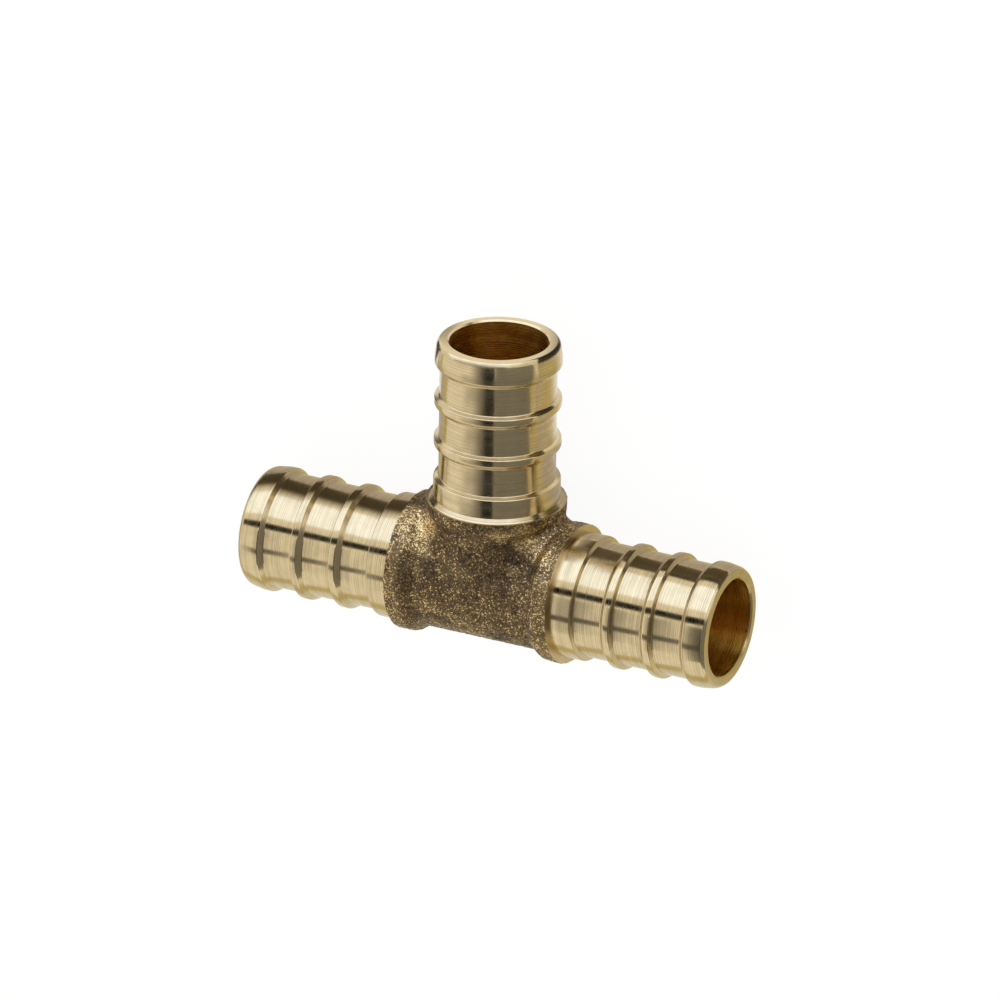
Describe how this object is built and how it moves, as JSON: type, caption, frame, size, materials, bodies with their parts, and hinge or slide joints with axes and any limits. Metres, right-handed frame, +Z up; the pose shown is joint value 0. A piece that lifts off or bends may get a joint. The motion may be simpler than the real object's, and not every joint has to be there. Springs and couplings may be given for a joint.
{
  "type": "pipe fitting tee",
  "caption": "Cast brass tee with equal barbed inserts on both run ends and the branch, for crimping plastic water pipe.",
  "frame": {"origin": "the point where the run bore and the branch bore cross", "axes": "+X along the run, +Y along the branch towards its open end, +Z up, with the tee lying on its three collars"},
  "size_m": [0.049, 0.0308, 0.0132],
  "materials": {
    "brass": "turned bright on the inserts, rough as cast on the body"
  },
  "bodies": {
    "root": {"tee_body": "brass"}
  },
  "joints": []
}
